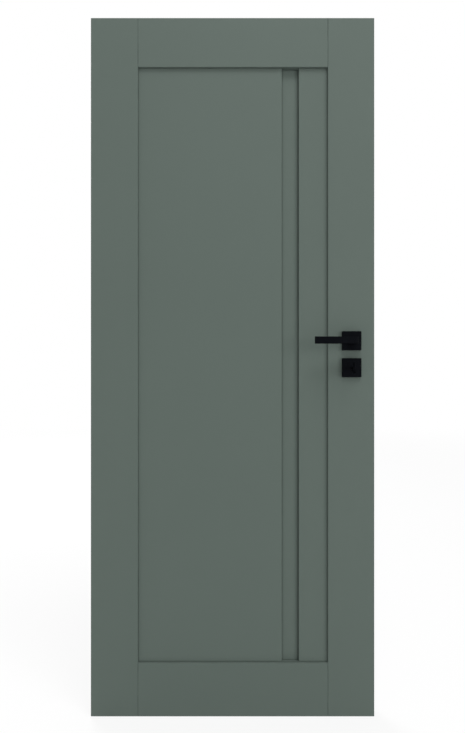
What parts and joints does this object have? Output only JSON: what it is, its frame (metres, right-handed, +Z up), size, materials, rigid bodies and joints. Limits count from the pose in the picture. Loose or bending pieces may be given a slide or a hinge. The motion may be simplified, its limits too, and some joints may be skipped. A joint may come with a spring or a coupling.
{
  "type": "interior door leaf",
  "caption": "Interior door leaf with recessed flat panels split by a vertical channel, square-rose lever handles, a magnetic mortise lock with key, and lift-off hinge halves.",
  "frame": {"origin": "centre of the leaf's bottom edge", "axes": "+X from the hinge edge to the lock edge, -Y out of the shown face, +Z up"},
  "size_m": [0.8325, 0.15, 2.03],
  "materials": {
    "laminate": "matte",
    "black_metal": "matte",
    "hinge_steel": "satin",
    "lock_steel": "satin",
    "bolt_metal": "satin",
    "spring_steel": "satin",
    "latch_plastic": "matte",
    "magnet": "satin",
    "screw_steel": "satin",
    "nylon": "matte"
  },
  "bodies": {
    "leaf": {"hinge_stile": "laminate", "lock_stile": "laminate", "top_rail": "laminate", "bottom_rail": "laminate", "wide_panel": "laminate", "narrow_panel": "laminate", "channel_board": "laminate", "hinge_plate_top": "hinge_steel", "hinge_plate_bottom": "hinge_steel", "hinge_screws": "hinge_steel", "forend": "lock_steel", "forend_screws": "lock_steel", "lock_case": "lock_steel", "lock_cover": "lock_steel", "lock_cover_screws": "lock_steel", "follower_spring": "spring_steel", "latch_spring": "spring_steel", "lever_bush_front": "nylon", "lever_bush_back": "nylon", "rose_base_front": "nylon", "rose_base_back": "nylon", "rose_cover_front": "black_metal", "rose_cover_back": "black_metal", "rose_bolts": "screw_steel", "key_rose_base_front": "nylon", "key_rose_base_back": "nylon", "key_rose_cover_front": "black_metal", "key_rose_cover_back": "black_metal", "key_rose_bolts": "screw_steel"},
    "levers": {"lever_front": "black_metal", "lever_back": "black_metal", "spindle": "bolt_metal", "follower": "bolt_metal", "lever_grub_screws": "screw_steel"},
    "latch": {"latch_bolt": "latch_plastic", "latch_magnet": "magnet"},
    "deadbolt": {"deadbolt": "bolt_metal"},
    "key": {"key": "black_metal"}
  },
  "joints": [
    {"name": "lever_turn", "type": "hinge", "parent": "leaf", "child": "levers", "pos_m": [0.345, 0, 1.0915], "axis": [0, -1, 0], "range_deg": [0, 40], "stiffness_Nm_per_rad": 1, "springref_deg": -34.38, "deforming": ["follower_spring"]},
    {"name": "latch_slide", "type": "slide", "parent": "leaf", "child": "latch", "axis": [1, 0, 0], "range_m": [0, 0.01], "stiffness_N_per_m": 20, "springref_m": -0.02, "deforming": ["latch_spring"]},
    {"name": "key_turn", "type": "hinge", "parent": "leaf", "child": "key", "pos_m": [0.345, 0, 1.0135], "axis": [0, 1, 0], "range_deg": [0, 360]},
    {"name": "deadbolt_slide", "type": "slide", "parent": "leaf", "child": "deadbolt", "axis": [1, 0, 0], "range_m": [0, 0.014]}
  ],
  "couplings": [
    {"joint": "key_turn", "follows": "deadbolt_slide", "rad_per_m": 448.79}
  ]
}
